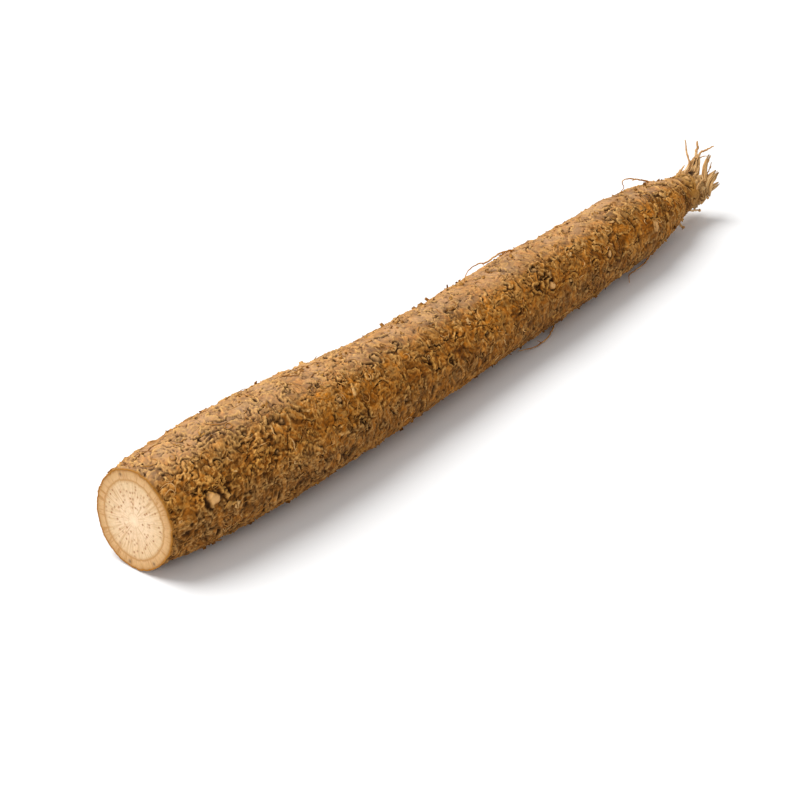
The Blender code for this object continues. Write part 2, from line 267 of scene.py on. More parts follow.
# knobs, pits, knots, burls, swirls and scars: way along in mm, turn in degrees, size in mm, kind
skinMarks = [
    (14.8, 20, 2.4, "knob"), (34.3, 60, 1.6, "pit"), (46.5, 53, 2.4, "pit"), (69.8, 44, 1.9, "knot"),
    (75.7, 13, 2.9, "burl"), (93.8, 68, 2.5, "knot"), (105.7, 73, 1.7, "knot"), (122.9, 19, 2.0, "burl"),
    (21.2, 48, 1.7, "swirl"), (28.5, 69, 2.8, "swirl"), (20.7, 16, 3.6, "swirl"), (10.5, 2, 2.4, "swirl"),
    (136.7, 78, 2.4, "pit"), (144.1, 24, 1.2, "pit"), (182.2, 44, 4.0, "burl"), (184.8, 31, 1.7, "knob"),
    (177.5, 36, 3.2, "burl"), (186.0, 54, 3.0, "swirl"), (175.0, 50, 2.6, "swirl"), (181.0, 60, 2.2, "knot"),
    (223.8, 26, 1.3, "knob"), (258.8, 19, 2.3, "scar"), (257.6, 99, 2.2, "pit"), (20.7, 100, 1.4, "pit"),
    (304.8, 74, 1.9, "knob"), (40.0, 28, 1.5, "pit"), (58.0, 78, 1.8, "swirl"), (163.5, 50, 2.2, "swirl"),
    (214.0, 22, 2.4, "swirl"), (236.0, 70, 1.9, "knot"), (196.0, 20, 1.5, "knot"),
    (97.7, 6, 1.6, "pit"), (30.0, 182, 2.2, "knob"), (62.0, 230, 2.0, "pit"), (88.0, 150, 2.4, "burl"),
    (118.0, 205, 1.8, "knob"), (151.0, 168, 2.1, "pit"), (166.0, 250, 2.4, "scar"), (205.0, 192, 3.0, "burl"),
    (232.0, 150, 1.6, "knob"), (243.0, 228, 2.0, "pit"), (270.0, 175, 1.8, "knob"), (54.0, 300, 2.0, "knob"),
    (128.0, 285, 2.2, "pit"), (210.0, 300, 1.8, "knob"), (262.0, 285, 1.7, "pit"), (178.0, 112, 1.6, "pit"),
]
# grooves round the root: way along and slant in mm, middle and half-length in degrees, depth in mm
skinGrooves = [
    (245.0, -3.0, 40, 50, 0.6), (269.5, 2.0, 25, 55, 0.9), (294.0, 1.5, 30, 90, 0.8),
    (229.0, 4.0, 30, 40, 0.5), (284.0, -2.0, 200, 80, 0.7), (262.0, 3.0, 190, 70, 0.6),
    (205.0, 5.0, 190, 45, 0.4), (172.0, -4.0, 80, 30, 0.5), (112.0, 3.0, 10, 45, 0.4),
    (24.0, 2.0, 330, 40, 0.4), (301.0, 1.0, 120, 120, 0.5), (153.0, 3.0, 200, 50, 0.4),
]


def ridges(points, size, sharpness, seed):
    # folded crests where a noise crosses nought, 0 to 1
    return np.clip(1 - np.abs(noiseAt(points, size, seed)) * sharpness, 0, 1) ** 2


def barkTexture(spots, along, turn, warp, slowWarp):
    # spots: mm in the root's own frame. Gives the height in mm, and 0 to 1 maps for the colours
    far = smooth(185, 270, along)
    near = 1 - smooth(45, 130, along)
    low = smooth(-0.15, -0.75, np.sin(turn - math.radians(35)))
    quickWarp = np.stack([noiseAt(spots, 0.8, s) for s in (31, 32, 33)], -1)
    bent = spots + slowWarp * 1.8 + warp * 0.7 + quickWarp * 0.22
    wander = spots + slowWarp * 2.4
    forward, girth, rise = np.moveaxis(wander, -1, 0)

    lump = noiseAt(spots, 13, 7) * 0.6 + noiseAt(spots, 5, 8) * 0.5
    # chips and flakes: fine in the middle, larger and flatter towards the crown
    fine, fineRim, fineId = flakesAt(bent * np.array([0.70, 1.0, 1.0]), 1.5, 1)
    broadWay = bent * np.array([0.9, 0.8, 0.8]) * (1 - 0.28 * far)[..., None]
    broad, broadRim, broadId = flakesAt(broadWay, 2.6, 2)
    sparse = smooth(-0.1, 0.35, noiseAt(spots, 8, 9))
    # rough patches beside smooth ones
    rough = 0.30 + 0.70 * smooth(-0.30, 0.30, noiseAt(spots + warp * 1.5, 8.5, 44))
    plates = fine * (0.26 - 0.12 * far) * rough * (0.25 + 0.75 * sparse) + broad * (0.70 + 0.65 * far)
    # short streaks, brushed one way in one patch and another in the next, round the root below
    lengthwise = noiseAt(wander * np.array([0.4, 1.15, 1.15]), 0.85, 20)
    acrossIt = noiseAt(pointsFrom(forward * 1.25 + rise * 0.25, girth * 0.3, rise * 0.3), 0.85, 21)
    askew = pointsFrom(forward * 0.75 + rise * 0.85, girth * 0.5, (rise - forward) * 0.3)
    brushed = smooth(-0.12, 0.12, noiseAt(spots + slowWarp, 6.5, 45))
    strokes = (lengthwise * (1 - brushed) + noiseAt(askew, 0.9, 46) * brushed) * (1 - low) * 1.15
    strokes = strokes + acrossIt * (0.30 + 0.90 * low)
    # curled threads of bark, thickest near the cut, each with a sunken gap along one side that is painted
    # dark as shadow
    curlWay = spots + warp * 0.9 + slowWarp * 1.6
    curlField = noiseAt(curlWay, 2.9, 10)
    curlPatch = smooth(0.0, 0.3, noiseAt(spots, 4.2, 12))
    smallCurls = bell(noiseAt(curlWay, 2.0, 11), 0.09) * smooth(0.05, 0.35, noiseAt(spots, 4.5, 13))
    curls = np.maximum(bell(curlField, 0.075) * curlPatch, smallCurls) * (0.35 + 0.65 * near) * rough
    under = bell(curlField + 0.17, 0.08) * curlPatch * (0.35 + 0.65 * near)
    crackField = noiseAt(spots * np.array([0.62, 1.0, 1.0]) + slowWarp * 2.0 + warp * 0.8, 4.2, 24)
    crackMask = smooth(0.05, 0.35, noiseAt(spots, 6.5, 25))
    crack = bell(crackField, 0.035) * crackMask
    crackLip = bell(crackField - 0.085, 0.045) * crackMask
    threads = bell(noiseAt(spots + slowWarp * 2.2 + warp * 0.5, 7.5, 22), 0.016)
    threads = threads * smooth(0.05, 0.3, noiseAt(spots, 10, 23))
    grain = noiseAt(spots, 0.62, 14) + 0.5 * noiseAt(spots, 0.36, 15)
    ringWay = pointsFrom(along / 2.3 + slowWarp[..., 0] * 1.3, np.cos(turn) * 1.3, np.sin(turn) * 1.3)
    rings = noiseAt(ringWay, 1.0, 17)
    # crumpled ridges of dried cork: they curl any way above, and run round the root below
    squeeze = pointsFrom(0.75 + 0.55 * low, 1 - 0.45 * low, 1 - 0.45 * low)
    ridgeWay = spots * squeeze + slowWarp * 2.4 + warp * 0.8
    crumple = np.maximum(ridges(ridgeWay, 3.5, 4.0, 18), 0.85 * ridges(ridgeWay, 2.3, 3.8, 42))
    crumple = crumple * (0.40 + 0.60 * near) * smooth(-0.25, 0.35, noiseAt(spots, 6.0, 43))

    height = barkSkin["lump"] * lump + barkSkin["plate"] * (plates - 0.25)
    height += barkSkin["curl"] * (curls + 0.6 * threads) + barkSkin["crumple"] * crumple
    height -= barkSkin["gap"] * under + barkSkin["crack"] * crack
    height += barkSkin["lip"] * crackLip
    height += barkSkin["stroke"] * strokes * (1 - 0.35 * far) * (0.4 + 0.6 * rough)
    height += barkSkin["grain"] * grain
    height += barkSkin["wrinkle"] * rings * (0.2 + 0.8 * far)
    # painted highlights: the edge map makes thread tops, crumpled ridges and flake rims paler
    fineEdge = 0.6 * smooth(0.75, 0.98, fineRim) * (fine > 0.2)
    broadEdge = 0.8 * smooth(0.72, 0.97, broadRim) * (broad > 0.25)
    return height, {
        # streak: light and dark streaks along the strokes, with extra contrast low on the root as painted
        # relief shading
        "streak": np.clip(0.5 + (0.85 + 0.35 * low) * strokes + 0.25 * noiseAt(bent * 0.8, 1.0, 27), 0, 1),
        "plateTint": fineId * (1 - far) * 0.6 + broadId * (0.4 + 0.6 * far),
        # dark: painted shade in the cracks and painted shadow in the gap beside each curled thread
        "dark": np.clip(0.75 * crack + 0.45 * under, 0, 1),
        "pale": np.zeros_like(along),
        "edge": np.clip(curls * 0.9 + threads * 0.8 + 0.55 * crumple ** 2 + broadEdge + fineEdge, 0, 1),
    }


def markBark(height, maps, along, turn, radius, warp, slowWarp):
    # works each knob, pit, knot, burl, swirl and scar into the height and the colour maps
    for place, middle, size, kind in skinMarks:
        rows = np.nonzero(np.abs(along[:, 0] - place) < size * 4)[0]
        if len(rows) == 0:
            continue
        part = slice(rows[0], rows[-1] + 1)
        tall, dark, pale = height[part], maps["dark"][part], maps["pale"][part]
        bend, sway = warp[part], slowWarp[part]
        ragged = 0.35 + 0.22 * size
        ahead = along[part] - place + ragged * bend[..., 0] + 0.6 * sway[..., 1]
        aside = turnFrom(turn[part], middle) * radius[part] + ragged * bend[..., 1] + 0.6 * sway[..., 2]
        away = np.hypot(ahead, aside) / size
        swirl = np.arctan2(aside, ahead)
        torn = 0.55 + 0.45 * np.sin(swirl * 2 + size * 3 + bend[..., 2] * 2)
        # the dark map: a darker patch round each mark; below, painted shade in each mark's troughs, pits,
        # folds and slits
        raiseTo(dark, 0.30 * bell(away, 2.4) * smooth(-0.35, 0.3, bend[..., 0] + sway[..., 0]))
        if kind == "knob":
            top = bell(away, 0.72, 4)
            tall *= 1 - top * 0.65
            tall += 0.75 * top * min(size, 2) / 2 - 0.85 * bell(away - 1.12, 0.24) * torn
            tall += 0.45 * bell(away - 1.6, 0.16) * torn + 0.22 * bell(away - 2.1, 0.16) * (1.2 - torn)
            raiseTo(dark, bell(away - 1.1, 0.28) * torn)
            raiseTo(pale, top * 0.95)
        elif kind == "pit":
            nub = bell(np.hypot(ahead / size - 0.25, aside / size), 0.24)
            tall += 0.45 * bell(away - 1.05, 0.2) * torn - 0.9 * bell(away - 0.3, 0.4) + 0.7 * nub
            raiseTo(dark, bell(away, 0.75) * 0.85)
            raiseTo(pale, nub * 0.8)
        elif kind == "swirl":
            folds = np.cos(away * 9.5 + swirl + sway[..., 0] * 2)
            tall += 0.28 * folds * bell(away, 1.2, 4)
            raiseTo(dark, bell(away, 1.2, 4) * np.clip(-folds, 0, 1) * 0.5)
        elif kind == "knot":
            folds = np.cos(away * 7.0 + np.sin(swirl * 3 + size) * 1.2)
            heart = bell(away - 0.1, 0.3)
            tall += 0.40 * folds * bell(away, 1.1) + 0.5 * heart - 0.8 * bell(away - 0.55, 0.22) * torn
            raiseTo(dark, bell(away - 0.6, 0.38) * (0.72 - 0.28 * folds))
            raiseTo(pale, heart * 0.7)
        elif kind == "burl":
            folds = np.cos(away * 8.5 + np.sin(swirl * 3 + size) * 1.5)
            tall += (0.38 * folds + 0.2) * bell(away, 1.15) - 0.9 * bell(away - 0.2, 0.22)
            raiseTo(dark, bell(away, 1.0) * (0.62 - 0.35 * folds))
        else:
            flat = bell(away, 0.9, 6)
            slit = bell(ahead, 0.28) * bell(aside, size * 0.5)
            tall *= 1 - flat
            tall += 0.25 * flat + 0.35 * bell(away - 0.85, 0.18) - 0.7 * slit
            raiseTo(pale, flat * (1 - 0.85 * slit))
            raiseTo(dark, np.maximum(slit, 0.6 * bell(away - 1.2, 0.18)))


def grooveBark(height, dark, along, turn, warp, slowWarp):
    # presses the wrinkles in, with a soft swell beside each, and paints shade into each wrinkle
    for place, slant, middle, halfTurn, depth in skinGrooves:
        share = turnFrom(turn, middle) / math.radians(halfTurn)
        ahead = along - place - slant * share - 1.3 * slowWarp[..., 0] - 0.5 * warp[..., 0]
        there = (1 - smooth(0.5, 1.1, np.abs(share))) * (0.35 + 0.65 * smooth(-0.3, 0.2, slowWarp[..., 1]))
        height -= depth * bell(ahead, 0.7) * there
        height += 0.5 * depth * bell(ahead - 1.9, 1.1) * there
        raiseTo(dark, 0.7 * bell(ahead, 0.8) * there)


def barkRelief(spots, along, turn, radius):
    warp = np.stack([noiseAt(spots, 1.7, s) for s in (1, 2, 3)], -1)
    slowWarp = np.stack([noiseAt(spots, 6.0, s) for s in (4, 5, 6)], -1)
    height, maps = barkTexture(spots, along, turn, warp, slowWarp)
    markBark(height, maps, along, turn, radius, warp, slowWarp)
    grooveBark(height, maps["dark"], along, turn, warp, slowWarp)
    return height, maps


def cutPlaneX(y, z):
    # where the knife's plane stands at a given place across the root
    return cutCentre.x - (cutNormal.y * (y - cutCentre.y) + cutNormal.z * (z - cutCentre.z)) / cutNormal.x


def buildSkinGrid():
    # points in metres, row by row from the cut to the crown's tip, with each one's turn and radius
    rows, columns, domeRows = barkSkin["rows"], barkSkin["columns"], barkSkin["domeRows"]
    turns = np.linspace(0, math.tau, columns, endpoint=False)[None, :].repeat(rows, 0)
    lastX = crownX - 3.9 * mm
    radii = radiusAt(np.full(columns, cutCentre.x + 3 * mm), turns[0])
    rim = centreAt(np.array(cutCentre.x)) + outwardAt(turns[0]) * radii[:, None]
    share = np.linspace(0, 1, rows - domeRows)[:, None]
    x = cutPlaneX(rim[:, 1], rim[:, 2])[None, :] * (1 - share) + lastX * share
    centres = centreAt(x)
    radius = radiusAt(np.maximum(x, cutCentre.x + 2.5 * mm), turns[:rows - domeRows])
    points = centres + outwardAt(turns[:rows - domeRows]) * radius[..., None]
    # the crown's rounded end, closing to its tip
    lean = np.linspace(0, math.pi / 2, domeRows + 1)[1:, None]
    domeX = lastX + (crownX - lastX) * np.sin(lean) + 0 * turns[:1]
    domeRadius = radius[-1:] * np.cos(lean) * 0.999 + 1e-5
    dome = pointsFrom(domeX, centres[-1:, :, 1], centres[-1:, :, 2])
    dome = dome + outwardAt(turns[:domeRows]) * domeRadius[..., None]
    return np.concatenate([points, dome]), turns, np.concatenate([radius, np.maximum(domeRadius, 1.5 * mm)])


def gridNormals(points):
    # outward directions of a grid whose rows go along +X and whose columns go round by turn
    down = np.gradient(points, axis=0)
    ahead = np.roll(points, -1, axis=1) - np.roll(points, 1, axis=1)
    normal = np.cross(down, ahead)
    return normal / np.maximum(np.linalg.norm(normal, axis=-1, keepdims=True), 1e-12)


def tubeMesh(name, points, maps, normals=None):
    # a ring-by-ring tube from a grid, welded along its seam, with both ends filled
    rows, columns = points.shape[:2]
    wrap = np.concatenate([np.arange(columns), [0]])
    mesh = bpy.data.meshes.new(name)
    bm = bmesh.new()
    bmesh.ops.create_grid(bm, x_segments=columns, y_segments=rows - 1, size=1)
    bm.to_mesh(mesh)
    bm.free()
    mesh.vertices.foreach_set("co", points[:, wrap].reshape(-1).astype(np.float32))
    for key, values in maps.items():
        layer = mesh.attributes.new(key, "FLOAT", "POINT")
        layer.data.foreach_set("value", values[:, wrap].reshape(-1).astype(np.float32))
    if normals is not None:
        layer = mesh.attributes.new("wholeNormal", "FLOAT_VECTOR", "POINT")
        layer.data.foreach_set("vector", normals[:, wrap].reshape(-1).astype(np.float32))
    bm = bmesh.new()
    bm.from_mesh(mesh)
    seam = [v for v in bm.verts if v.index % (columns + 1) in (0, columns)]
    bmesh.ops.remove_doubles(bm, verts=seam, dist=1e-7)
    rims = [e for e in bm.edges if e.is_boundary]
    caps = bmesh.ops.holes_fill(bm, edges=rims, sides=0)["faces"]
    bmesh.ops.poke(bm, faces=caps)
    bmesh.ops.recalc_face_normals(bm, faces=bm.faces)
    bm.to_mesh(mesh)
    bm.free()
    mesh.shade_smooth()
    if normals is not None:
        # sections shade as one skin, and the caps' middles face along it
        whole = np.empty(len(mesh.vertices) * 3, np.float32)
        mesh.attributes["wholeNormal"].data.foreach_get("vector", whole)
        whole = whole.reshape(-1, 3)
        whole[np.linalg.norm(whole, axis=1) < 0.5] = (1, 0, 0)
        mesh.normals_split_custom_set_from_vertices(whole.tolist())
        mesh.attributes.remove(mesh.attributes["wholeNormal"])
    return addObject(name, mesh)


def startMaterial(name, roughness, specular):
    # the material, its node tree and Object coordinates; dried plant matter has an IOR near 1.45
    made = bpy.data.materials.new(name)
    made.use_nodes = True
    shader = made.node_tree.nodes["Principled BSDF"]
    shader.inputs["Roughness"].default_value = roughness
    shader.inputs["IOR"].default_value = 1.45
    shader.inputs["Specular IOR Level"].default_value = specular
    return made, made.node_tree, addNode(made.node_tree, "ShaderNodeTexCoord", {}, "Object")


def readMaps(tree, *names):
    return {key: addNode(tree, "ShaderNodeAttribute", {"attribute_name": key}, "Fac") for key in names}


def varied(tree, tone, field, low, high, darkest, lightest):
    # the tone made darker and lighter as a field goes from low to high
    spread = {"Value": field, "From Min": low, "From Max": high, "To Min": darkest, "To Max": lightest}
    factor = addNode(tree, "ShaderNodeMapRange", spread)
    return addNode(tree, "ShaderNodeVectorMath", {"operation": "SCALE", 0: tone, "Scale": factor})


def layered(tree, tone, carried, layers, blend="MIX"):
    # fixed colours laid over the tone one after another, each where the piece's own map says
    for key, code in layers.items():
        settings = {"data_type": "RGBA", "blend_type": blend, 0: carried[key], 6: tone, 7: fromHex(code)}
        tone = addNode(tree, "ShaderNodeMix", settings, 2)
    return tone


def finishMaterial(made, tone, height, strength, depth):
    # the colour, and a bump of that depth in mm for what is finer than the mesh
    tree = made.node_tree
    shader = tree.nodes["Principled BSDF"]
    tree.links.new(tone, shader.inputs["Base Color"])
    bump = addNode(tree, "ShaderNodeBump", {"Strength": strength, "Distance": depth * mm, "Height": height})
    tree.links.new(bump, shader.inputs["Normal"])
    return made


def corkyBark():
    # burdock's cork skin, dried earth-brown: matt, with painted highlights on its edges and near-black
    # painted shade in its gaps
    made, tree, place = startMaterial("corkyBark", 0.8, 0.10)
    carried = readMaps(tree, "hollow", "plateTint", "streak", "dark", "pale", "edge", "rim",
                       "stalky", "dusty", "golden", "damp")
    # flakes differ in tone from one to the next
    flakeTones = [(0.0, "54300A"), (0.25, "875112"), (0.55, "A8691F"), (0.8, "C6883C"), (1.0, "6A3C0C")]
    flakes = addNode(tree, "ShaderNodeValToRGB", {"stops": flakeTones, "Fac": carried["plateTint"]})
    # broad ochre and grey-brown areas, 22 mm across
    broad = addNode(tree, "ShaderNodeTexNoise", {"Vector": place, "Scale": 1 / (22 * mm), "Detail": 3.0})
    zoneTones = [(0.38, "A46718"), (0.5, "8A561C"), (0.62, "6E4822")]
    zones = addNode(tree, "ShaderNodeValToRGB", {"stops": zoneTones, "Fac": broad})
    tone = addNode(tree, "ShaderNodeMix", {"data_type": "RGBA", 0: 0.42, 6: flakes, 7: zones}, 2)
    # darker and lighter mottling, 5 mm across
    mottling = {"Vector": place, "Scale": 1 / (5 * mm), "Detail": 4.0, "Roughness": 0.6}
    mottle = addNode(tree, "ShaderNodeTexNoise", mottling)
    tone = varied(tree, tone, mottle, 0.36, 0.64, 0.66, 1.32)
    # light and dark streaks of the torn cork; low on the root their contrast is raised as painted relief
    # shading
    tone = varied(tree, tone, carried["streak"], 0.0, 1.0, 0.52, 1.55)
    # fine fibres and specks, 0.7 mm
    specks = {"Vector": place, "Scale": 1 / (0.7 * mm), "Detail": 4.0, "Roughness": 0.65}
    speck = addNode(tree, "ShaderNodeTexNoise", specks)
    tone = varied(tree, tone, speck, 0.3, 0.7, 0.76, 1.2)
    # painted sheen on the side that faces up, painted highlights on the edges, near-black painted shade in
    # the hollows and dark places
    tone = layered(tree, tone, carried, {"dusty": "D0A883", "stalky": "BC8A48", "edge": "E9B670",
                                         "hollow": "38200A", "dark": "38200C"})
    # painted shade: a richer, darker ochre low on the sides, and darker again underneath
    tone = layered(tree, tone, carried, {"golden": "EEDEB2", "damp": "DCD8D6"}, "MULTIPLY")
    tone = layered(tree, tone, carried, {"pale": "E2AE70", "rim": "A8712E"})
    return finishMaterial(made, tone, speck, 0.6, 0.12)


def cutFlesh():
    # fresh root cut with a knife: matt cream flesh with a soft glow inside, tan cortex, darker vessels
    made, tree, place = startMaterial("cutFlesh", 0.5, 0.4)
    carried = readMaps(tree, "ringShare", "ray", "vessel", "stain")
    ringTones = [(0.0, "EFD2AE"), (0.3, "E9CBA6"), (0.74, "D9B88C"), (0.805, "B98A50"), (0.84, "CFA572"),
                 (0.95, "C4975E"), (1.0, "94601F")]
    tone = addNode(tree, "ShaderNodeValToRGB", {"stops": ringTones, "Fac": carried["ringShare"]})
    tone = layered(tree, tone, carried, {"ray": "B07C3E"})
    # grain of the flesh, 0.6 mm
    speck = addNode(tree, "ShaderNodeTexNoise", {"Vector": place, "Scale": 1 / (0.6 * mm), "Detail": 3.0})
    tone = varied(tree, tone, speck, 0.3, 0.7, 0.93, 1.06)
    tone = layered(tree, tone, carried, {"vessel": "9A5A20", "stain": "5A3818"})
    shader = tree.nodes["Principled BSDF"]
    shader.inputs["Subsurface Weight"].default_value = 0.15
    shader.inputs["Subsurface Radius"].default_value = (1.0, 0.6, 0.35)
    shader.inputs["Subsurface Scale"].default_value = 0.8 * mm
    return finishMaterial(made, tone, speck, 0.3, 0.08)


def tintedBark(name, stops, roughness, patchy=True):
    # the same cork as the skin, for threads in 5 mm patches of tone, or for chips that each carry their own
    made, tree, place = startMaterial(name, roughness, 0.18)
    if patchy:
        field = addNode(tree, "ShaderNodeTexNoise", {"Vector": place, "Scale": 1 / (5 * mm), "Detail": 2.0})
    else:
        field = readMaps(tree, "tone")["tone"]
    tone = addNode(tree, "ShaderNodeValToRGB", {"stops": stops, "Fac": field})
    speck = addNode(tree, "ShaderNodeTexNoise", {"Vector": place, "Scale": 1 / (0.5 * mm), "Detail": 3.0})
    return finishMaterial(made, varied(tree, tone, speck, 0.3, 0.7, 0.7, 1.2), speck, 0.5, 0.08)


def dryStalk():
    # sun-dried leaf-stalk: tan fibres, with painted shade in the hollows between them and soil at the base
    made, tree, place = startMaterial("dryStalk", 0.7, 0.2)
    carried = readMaps(tree, "tone", "dark")
    streaks = {"Vector": place, "Scale": 1 / (1.2 * mm), "Detail": 4.0, "Roughness": 0.65}
    streak = addNode(tree, "ShaderNodeTexNoise", streaks)
    both = addNode(tree, "ShaderNodeMix", {"data_type": "FLOAT", 0: 0.45, 2: carried["tone"], 3: streak})
    stalkTones = [(0.2, "8E6030"), (0.42, "C49154"), (0.6, "DDAF72"), (0.85, "F2D19C")]
    tone = addNode(tree, "ShaderNodeValToRGB", {"stops": stalkTones, "Fac": both})
    return finishMaterial(made, layered(tree, tone, carried, {"dark": "3E2811"}), streak, 0.5, 0.1)


print("bark grid")
skinPoints, skinTurns, skinRadius = buildSkinGrid()
alongMm = (skinPoints[..., 0] - cutCentre.x) / mm
pastCut = alongMm - alongMm[0:1]
smoothNormals = gridNormals(skinPoints)
height, colourMaps = barkRelief(skinPoints / mm, alongMm, skinTurns, skinRadius / mm)
# the relief is held in at the knife's cut and at the crown
height = np.clip(height * (0.4 + 0.6 * smooth(-0.2, 1.6, pastCut)), *barkSkin["limits"])
height -= 0.8 * bell(alongMm, 9) * smooth(-0.1, 0.9, np.cos(skinTurns))
height += 0.15 * bell(alongMm, 6)
height *= 1 - 0.45 * smooth(297, 304, alongMm)


def blur(values, times):
    for _ in range(times):
        values = (values + np.roll(values, 1, 1) + np.roll(values, -1, 1)
                  + np.concatenate([values[:1], values[:-1]]) + np.concatenate([values[1:], values[-1:]])) / 5
    return values


# painted shade in what lies deeper than its surroundings, painted highlight on what stands out, painted sheen
# above, painted shade below and low on the sides
cavity = (blur(height, 5) - height) * 0.7 + (blur(height, 24) - height) * 0.5
facingUp = np.sin(skinTurns)
sheenPatches = 0.6 + 0.4 * smooth(-0.3, 0.3, noiseAt(skinPoints / mm, 7.0, 41))
colourMaps["hollow"] = smooth(0.04, 0.36, cavity) * 0.92
colourMaps["edge"] = np.clip(colourMaps["edge"] * 0.45 + smooth(0.08, 0.38, -cavity) * 0.85, 0, 1)
# the painted highlight on the edges is stronger on the side that faces up
colourMaps["edge"] *= 0.72 + 0.28 * smooth(-0.5, 0.6, facingUp)
# painted sheen: the side that faces up made paler and greyer, in patches
colourMaps["dusty"] = 0.62 * smooth(0.66, 1.0, np.sin(skinTurns - 0.25)) * sheenPatches
# painted shade: darker, richer ochre on the sides, and darker underneath
colourMaps["golden"] = bell(facingUp - 0.5, 0.3)
colourMaps["damp"] = 1 - smooth(-0.1, 0.45, facingUp)
colourMaps["stalky"] = smooth(297, 304, alongMm + noiseAt(skinPoints / mm, 3.0, 40) * 4) * 0.85
skinPoints = keepIn(skinPoints + smoothNormals * (height * mm)[..., None])

# the bark's cut edge: rows that turn in over the knife's plane, then back inside
intoRoot = np.array(-cutNormal)
rimRow = skinPoints[0] - np.outer((skinPoints[0] - np.array(cutCentre)) @ -intoRoot, -intoRoot)
skinPoints[0] = rimRow
toMiddle = np.array(cutCentre) - rimRow
toMiddle /= np.linalg.norm(toMiddle, axis=-1, keepdims=True)
rimRows = [rimRow + toMiddle * (inward * mm) + intoRoot * (back * mm) for inward, back in barkSkin["cutEdge"]]
skinPoints = np.concatenate([np.stack(rimRows), skinPoints])
for key, values in colourMaps.items():
    colourMaps[key] = np.concatenate([values[:1].repeat(len(rimRows), 0) * 0.3, values])
onCut = np.ones((len(rimRows) + 1, skinPoints.shape[1]))
colourMaps["rim"] = np.concatenate([onCut, 0.8 * (1 - smooth(0.0, 0.8, pastCut[1:]))])
shownNormals = gridNormals(skinPoints)

bark = corkyBark()
rowEnds = np.linspace(0, len(skinPoints) - 1, barkSkin["sections"] + 1).astype(int)
for number in range(barkSkin["sections"]):
    part = slice(rowEnds[number], rowEnds[number + 1] + 1)
    maps = {key: values[part] for key, values in colourMaps.items()}
    piece = tubeMesh(f"barkSkin{number + 1}", skinPoints[part], maps, shownNormals[part])
    finishPiece(piece, bark, "root_skin", "taproot")

cutFace = {
    "rings": 110,
    "radius": 15.0,         # of the flesh, mm
    # share of the radius, width and strength; the third is the thin dark cambium
    "growthRings": ((0.15, 0.012, 0.30), (0.28, 0.014, 0.30), (0.80, 0.011, 0.55), (0.965, 0.012, 0.35)),
    "vessels": 110,         # small brown vessel ends
    "vesselSize": 0.36,     # their radius, mm
    "stains": [(0.93, 118), (0.92, 262), (0.90, 305)],   # dark spots in the cortex: share of the radius, turn
    "stainSize": 0.55,      # their radius, mm
    "proud": 0.06,          # how far the flesh stands out of the bark's edge, mm
}


def buildCutFace():
    middle = np.array(cutCentre)
    rim = rimRow + toMiddle * (0.22 * mm)
    shares = np.concatenate([np.linspace(0.004, 1, cutFace["rings"]), [1.0]])[::-1]
    points = middle + (rim - middle)[None] * shares[:, None, None]
    turn = skinTurns[0][None, :].repeat(len(shares), 0)
    share = shares[:, None].repeat(points.shape[1], 1)
    reach = np.linalg.norm(rim - middle, axis=-1)[None] / mm * share

    def raysAt(fineness, drift, seed):
        return noiseAt(pointsFrom(np.cos(turn) * fineness, np.sin(turn) * fineness, share * drift), 1.0, seed)

    def spotAt(atShare, angle, size, power):
        spotReach = atShare * cutFace["radius"]
        away = np.hypot(reach * np.cos(turn) - spotReach * math.cos(angle),
                        reach * np.sin(turn) - spotReach * math.sin(angle))
        return bell(away, size, power)

    ray = 0.10 + 0.45 * raysAt(7, 1.2, 50) + 0.95 * raysAt(22, 3, 51) + 0.80 * raysAt(44, 5, 52)
    ray = np.clip(ray, 0, 1) * (0.68 + 0.60 * smooth(0.80, 0.86, share))
    ray = np.minimum(ray, 1) * smooth(0.02, 0.14, share)
    wobble = 0.012 * raysAt(1.5, 0, 53)
    for place, width, depth in cutFace["growthRings"]:
        raiseTo(ray, depth * bell(share + wobble - place, width))
    vessel, stain = np.zeros_like(share), np.zeros_like(share)
    for _ in range(cutFace["vessels"]):
        atShare = 0.20 + 0.56 * randomDraw.random() ** 0.7
        angle = round(randomDraw.random() * 44) / 44 * math.tau + randomDraw.normal() * 0.02
        strong = 0.25 + 0.65 * randomDraw.random()
        raiseTo(vessel, strong * spotAt(atShare, angle, cutFace["vesselSize"], 4))
    for atShare, degrees in cutFace["stains"]:
        raiseTo(stain, 0.85 * spotAt(atShare, math.radians(degrees), cutFace["stainSize"], 2))
    relief = cutFace["proud"] - 0.05 * ray - 0.10 * vessel - 0.12 * stain - 0.25 * bell(1 - share, 0.012)
    points = points - intoRoot * (relief * mm)[..., None]
    points[0] += intoRoot * (1.2 * mm)
    maps = {"ringShare": share, "ray": ray, "vessel": vessel, "stain": stain}
    maps = {key: values[::-1] for key, values in maps.items()}
    return tubeMesh("cutFlesh", points[::-1], maps, np.broadcast_to(-intoRoot, points.shape))


finishPiece(buildCutFace(), cutFlesh(), "root_skin", "taproot")


def pieceFrom(name, mesh, material, slot, *nodes):
    mesh.shade_smooth()
    finishPiece(addObject(name, mesh), material, slot, *nodes)


